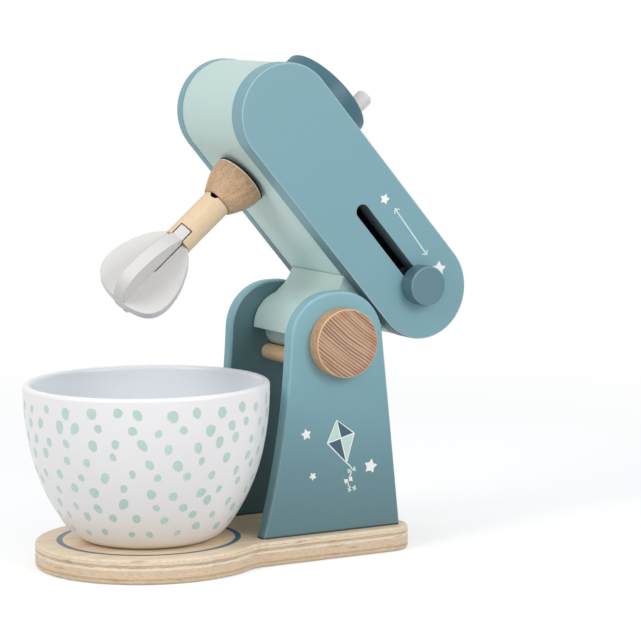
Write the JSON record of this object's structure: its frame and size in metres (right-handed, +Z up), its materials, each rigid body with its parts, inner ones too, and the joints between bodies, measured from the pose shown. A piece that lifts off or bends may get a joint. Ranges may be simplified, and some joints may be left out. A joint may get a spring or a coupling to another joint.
{
  "type": "toy stand mixer",
  "caption": "Wooden toy stand mixer: tilting head on two uprights, hand crank disc on top, crossed-board whisk below, side slider, and a loose round bowl on a shaped plywood base.",
  "frame": {"origin": "the bowl's axis at the underside of the base board", "axes": "+Z up, +X from the bowl towards the uprights, -Y towards the side with the slider; the head is stored raised"},
  "size_m": [0.2571, 0.14, 0.2855],
  "materials": {
    "ply": "clear satin lacquer on multi-ply birch",
    "paint_blue": "satin paint, dusty blue",
    "paint_dark": "satin paint, slate blue",
    "paint_mint": "satin paint, pale mint",
    "paint_grey": "satin paint, warm light grey",
    "beech": "bare beech with a clear matt finish",
    "pale_wood": "bare pale hardwood dowel",
    "bowl_paint": "satin white paint with mint dots",
    "steel": "zinc-plated",
    "black_washer": "matt black",
    "bush": "natural white",
    "stained_black": "black stain"
  },
  "bodies": {
    "stand": {"base_board": "ply", "upright_left": "paint_blue", "upright_right": "paint_blue", "base_screws": "steel", "stop_dowel": "pale_wood"},
    "head": {"neck_block": "paint_mint", "pivot_axle": "pale_wood", "pivot_washers": "bush", "pivot_knob_left": "beech", "pivot_knob_right": "beech", "neck_screws": "steel", "head_core": "paint_mint", "head_plate_left": "paint_blue", "head_plate_right": "paint_blue", "head_pins": "pale_wood", "shaft_bush_lower": "bush", "shaft_bush_upper": "bush"},
    "whisk": {"drive_shaft": "pale_wood", "crank_disc": "paint_dark", "crank_peg": "paint_grey", "disc_washer": "black_washer", "hub_washer": "black_washer", "whisk_hub": "beech", "whisk_handle": "pale_wood", "whisk_blade_a": "paint_grey", "whisk_blade_b": "paint_grey"},
    "slider": {"slider_knob": "paint_dark", "slider_stem": "stained_black", "slider_shoe": "stained_black", "slider_screw": "steel"},
    "bowl": {"bowl": "bowl_paint"}
  },
  "joints": [
    {"name": "head_tilt", "type": "hinge", "parent": "stand", "child": "head", "pos_m": [0.103, 0, 0.1235], "axis": [0, 1, 0], "range_deg": [-50, 0]},
    {"name": "whisk_spin", "type": "hinge", "parent": "head", "child": "whisk", "pos_m": [0.08604, 0, 0.23628], "axis": [0.766, 0, 0.6428], "continuous": true},
    {"name": "slider_travel", "type": "slide", "parent": "head", "child": "slider", "axis": [-0.6428, 0, 0.766], "range_m": [0, 0.0573]},
    {"name": "bowl_lift", "type": "slide", "parent": "stand", "child": "bowl", "axis": [0, 0, 1], "range_m": [0, 0.025]}
  ]
}
